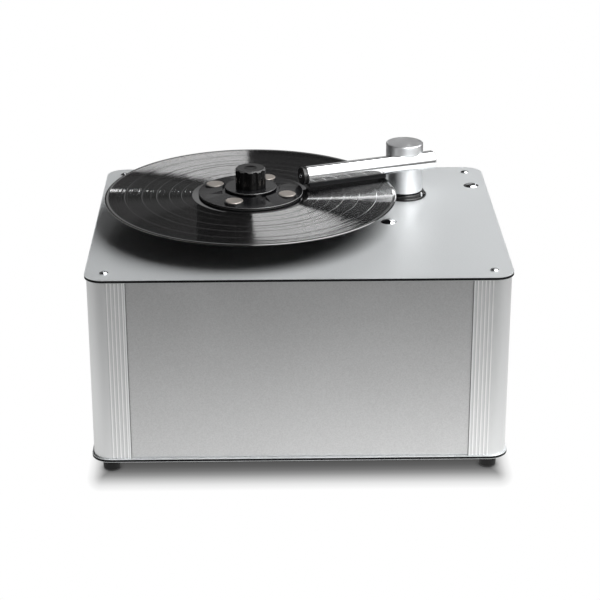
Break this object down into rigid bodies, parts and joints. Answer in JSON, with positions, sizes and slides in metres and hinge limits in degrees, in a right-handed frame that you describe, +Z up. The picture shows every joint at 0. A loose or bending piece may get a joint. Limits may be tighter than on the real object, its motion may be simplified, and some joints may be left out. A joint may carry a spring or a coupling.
{
  "type": "record cleaning machine",
  "caption": "Box-shaped machine that wets, turns and vacuum-dries records, with a record on its platter, a screw-on clamp and a swinging suction arm.",
  "frame": {"origin": "on the surface that the feet stand on, below the middle of the case", "axes": "+X to the right, +Y to the rear and +Z up, as seen from the front"},
  "size_m": [0.417, 0.3374, 0.2689],
  "materials": {
    "plate_skin": "satin, fine bead-blasted skin of a composite plate",
    "plate_core": "black plastic core of a composite plate",
    "post_metal": "satin anodised extrusion",
    "panel_metal": "fine-grained anodised sheet",
    "screw_chrome": "polished plating",
    "tube_chrome": "mirror-polished plating",
    "column_metal": "turned and brushed",
    "vinyl": "fine concentric grooves",
    "clamp_plastic": "satin black, turned",
    "weight_nickel": "warm grey nickel, brushed",
    "knob_plastic": "polished black",
    "ring_black": "polished black",
    "plug_black": "satin black",
    "velvet": "short black pile",
    "foot_rubber": "matt black",
    "pad_rubber": "matt black",
    "seal_rubber": "matt black",
    "steel": "bright turned steel",
    "spring_steel": "drawn wire",
    "bearing_bronze": "turned bearing bronze",
    "housing_cast": "fine cast surface, machined faces",
    "gear_nylon": "moulded off-white gear plastic",
    "gear_brass": "machined",
    "motor_steel": "dark grey paint",
    "bracket_steel": "zinc-plated sheet",
    "tank_plastic": "moulded off-white",
    "hose_rubber": "grey-black, smooth",
    "pipe_plastic": "grey pressure pipe",
    "fan_plastic": "moulded black",
    "impeller_metal": "pressed sheet",
    "fitting_black": "moulded black",
    "rocker_black": "polished black",
    "board_green": "lacquered circuit board"
  },
  "bodies": {
    "case": {"top_plate_skins": "plate_skin", "top_plate_core": "plate_core", "bottom_plate_skins": "plate_skin", "bottom_plate_core": "plate_core", "corner_post_front_left": "post_metal", "corner_post_front_right": "post_metal", "corner_post_rear_left": "post_metal", "corner_post_rear_right": "post_metal", "front_panel": "panel_metal", "rear_panel": "panel_metal", "left_panel": "panel_metal", "right_panel": "panel_metal", "plate_screws": "screw_chrome", "feet": "foot_rubber", "foot_screws": "steel", "tank_bolts": "screw_chrome", "bearing_screws": "steel", "lock_nuts": "steel", "bearing_housing": "housing_cast", "bearing_bushes": "bearing_bronze", "gearmotor": "motor_steel", "motor_bracket": "bracket_steel", "arm_base_ring": "ring_black", "arm_guide_bush": "bearing_bronze", "lift_spring": "spring_steel", "tank_lid": "tank_plastic", "waste_tank": "tank_plastic", "drain_pipe": "pipe_plastic", "drain_port": "fitting_black", "mount_ring": "seal_rubber", "vacuum_motor": "motor_steel", "fan_housing": "fan_plastic", "suction_hose": "hose_rubber", "switch_bodies": "fitting_black", "power_inlet": "fitting_black", "circuit_board": "board_green"},
    "platter": {"spindle": "steel", "platter_disc": "housing_cast", "platter_pad": "pad_rubber", "record": "vinyl", "spindle_gear": "gear_nylon"},
    "clamp": {"clamp_disc": "clamp_plastic", "clamp_weights": "weight_nickel", "clamp_pad": "seal_rubber"},
    "knob": {"clamp_knob": "knob_plastic"},
    "motor_rotor": {"motor_pinion": "gear_brass"},
    "arm_lifter": {"lift_collar": "bearing_bronze"},
    "suction_arm": {"arm_column": "column_metal", "suction_tube": "tube_chrome", "velvet_strips": "velvet", "tube_end_plug": "plug_black", "plug_screw": "screw_chrome", "tube_end_cap": "tube_chrome", "riser_tube": "steel"},
    "fan_rotor": {"fan_impeller": "impeller_metal"},
    "drain_cap": {"drain_plug": "fitting_black"},
    "fuse_tray": {"fuse_drawer": "fitting_black"},
    "vacuum_switch": {"vacuum_rocker": "rocker_black"},
    "rotation_switch": {"rotation_rocker": "rocker_black"}
  },
  "joints": [
    {"name": "platter_spin", "type": "hinge", "parent": "case", "child": "platter", "pos_m": [-0.0478, 0.002, 0.21], "axis": [0, 0, 1], "continuous": true},
    {"name": "pinion_spin", "type": "hinge", "parent": "case", "child": "motor_rotor", "pos_m": [-0.0478, -0.058, 0.154], "axis": [0, 0, 1], "continuous": true},
    {"name": "clamp_lift", "type": "slide", "parent": "platter", "child": "clamp", "axis": [0, 0, 1], "range_m": [0, 0.04]},
    {"name": "knob_turn", "type": "hinge", "parent": "clamp", "child": "knob", "pos_m": [-0.0478, 0.002, 0.255], "axis": [0, 0, 1], "continuous": true},
    {"name": "arm_lift", "type": "slide", "parent": "case", "child": "arm_lifter", "axis": [0, 0, 1], "range_m": [0, 0.008], "deforming": ["lift_spring"]},
    {"name": "arm_swing", "type": "hinge", "parent": "arm_lifter", "child": "suction_arm", "pos_m": [0.1164, 0.0766, 0.25], "axis": [0, 0, 1], "range_deg": [0, 75]},
    {"name": "impeller_spin", "type": "hinge", "parent": "case", "child": "fan_rotor", "pos_m": [-0.125, 0.072, 0.11], "axis": [0, 0, 1], "continuous": true},
    {"name": "drain_cap_pull", "type": "slide", "parent": "case", "child": "drain_cap", "axis": [0, 1, 0], "range_m": [0, 0.025]},
    {"name": "fuse_tray_pull", "type": "slide", "parent": "case", "child": "fuse_tray", "axis": [0, 1, 0], "range_m": [0, 0.012]},
    {"name": "vacuum_rocker_tilt", "type": "hinge", "parent": "case", "child": "vacuum_switch", "pos_m": [0.2033, -0.116, 0.15], "axis": [0, 1, 0], "range_deg": [-18, 0]},
    {"name": "rotation_rocker_tilt", "type": "hinge", "parent": "case", "child": "rotation_switch", "pos_m": [0.2033, -0.084, 0.15], "axis": [0, 1, 0], "range_deg": [-9, 9]}
  ],
  "couplings": [
    {"joint": "pinion_spin", "follows": "platter_spin", "ratio": -3}
  ]
}
